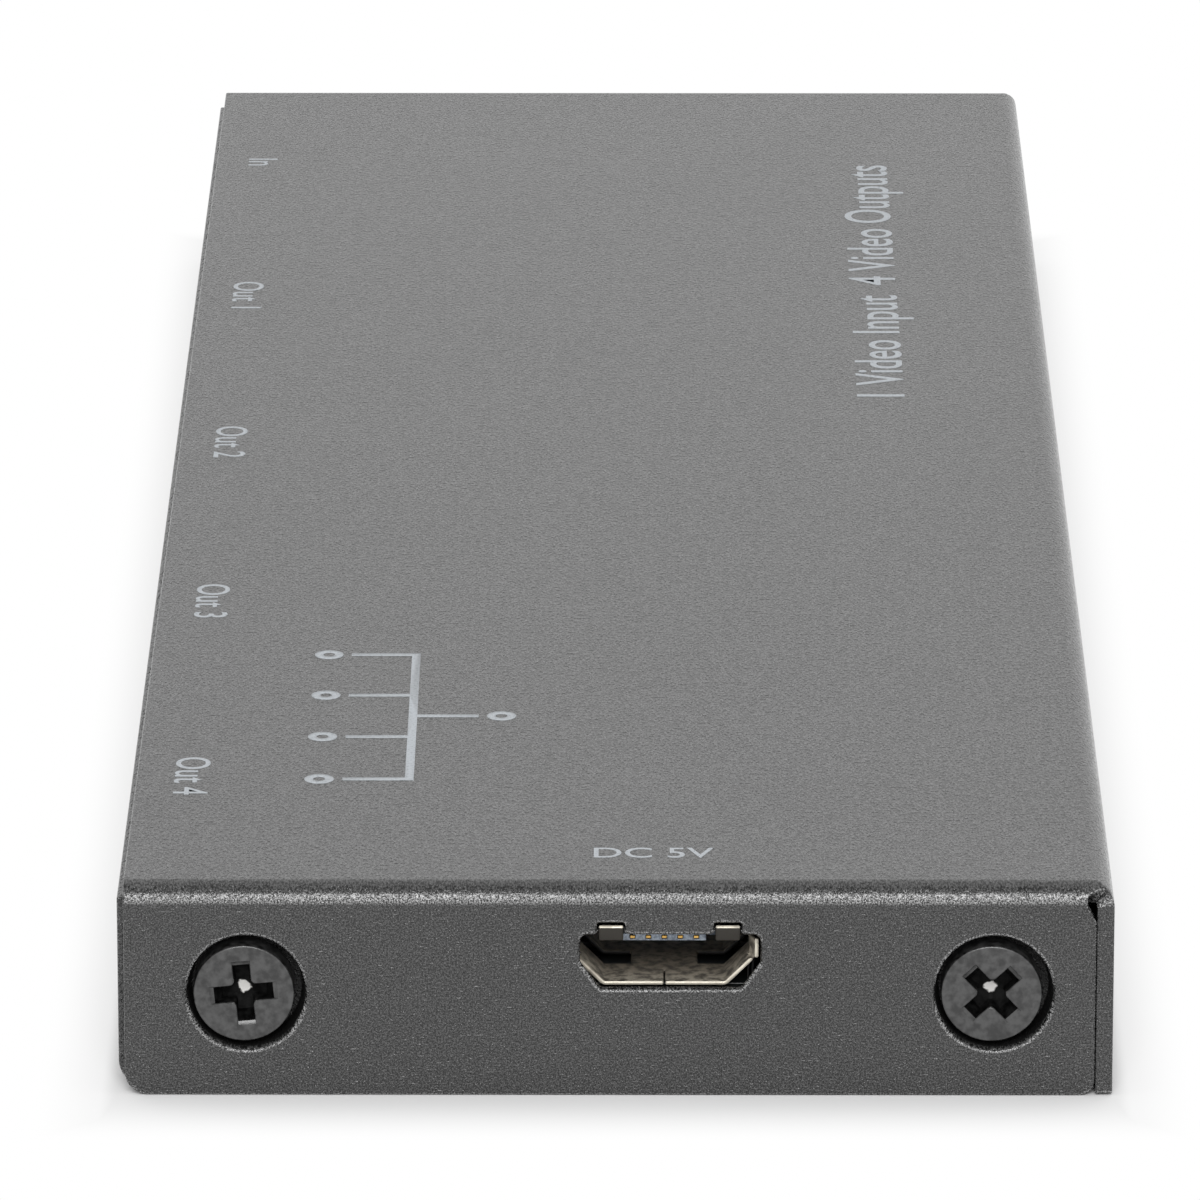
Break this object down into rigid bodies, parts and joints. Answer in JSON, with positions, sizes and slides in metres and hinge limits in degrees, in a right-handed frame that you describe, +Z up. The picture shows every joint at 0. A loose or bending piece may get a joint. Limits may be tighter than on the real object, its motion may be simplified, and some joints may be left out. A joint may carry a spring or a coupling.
{
  "type": "video splitter",
  "caption": "Slim folded-steel video splitter box with a row of full-size sockets along one long wall and a small power socket in one end.",
  "frame": {"origin": "middle of the underside, at the centre of the bottom of the box around the part", "axes": "+Y along the row of sockets, away from the power socket; +X from the socket wall towards the plain long side; +Z up"},
  "size_m": [0.0406, 0.124, 0.009],
  "materials": {
    "case_paint": "fine texture powder coat",
    "screw_steel": "black oxide",
    "socket_tin": "nickel plated",
    "contact_gold": "gold flash",
    "resin_black": "matt",
    "resin_grey": "matt",
    "board": "solder mask",
    "ceramic": "fired ceramic",
    "pad": "soft",
    "lens": "clear"
  },
  "bodies": {
    "root": {"top_cover": "case_paint", "bottom_tray": "case_paint", "case_screws": "screw_steel", "main_board": "board", "board_standoffs": "socket_tin", "board_screws": "socket_tin", "power_shell": "socket_tin", "power_tongue": "resin_grey", "power_contacts": "contact_gold", "splitter_chip": "resin_black", "heat_pad": "pad", "control_chip": "resin_black", "memory_chip": "resin_black", "clock_crystal": "socket_tin", "power_inductors": "resin_black", "voltage_regulators": "resin_black", "bulk_capacitors": "ceramic", "coupling_capacitors": "ceramic", "surge_arrays": "resin_black", "status_lights": "ceramic", "status_lenses": "lens", "video_shell_in": "socket_tin", "video_shell_out_1": "socket_tin", "video_shell_out_2": "socket_tin", "video_shell_out_3": "socket_tin", "video_shell_out_4": "socket_tin", "video_tongue_in": "resin_black", "video_tongue_out_1": "resin_black", "video_tongue_out_2": "resin_black", "video_tongue_out_3": "resin_black", "video_tongue_out_4": "resin_black", "video_contacts_in": "contact_gold", "video_contacts_out_1": "contact_gold", "video_contacts_out_2": "contact_gold", "video_contacts_out_3": "contact_gold", "video_contacts_out_4": "contact_gold"}
  },
  "joints": []
}
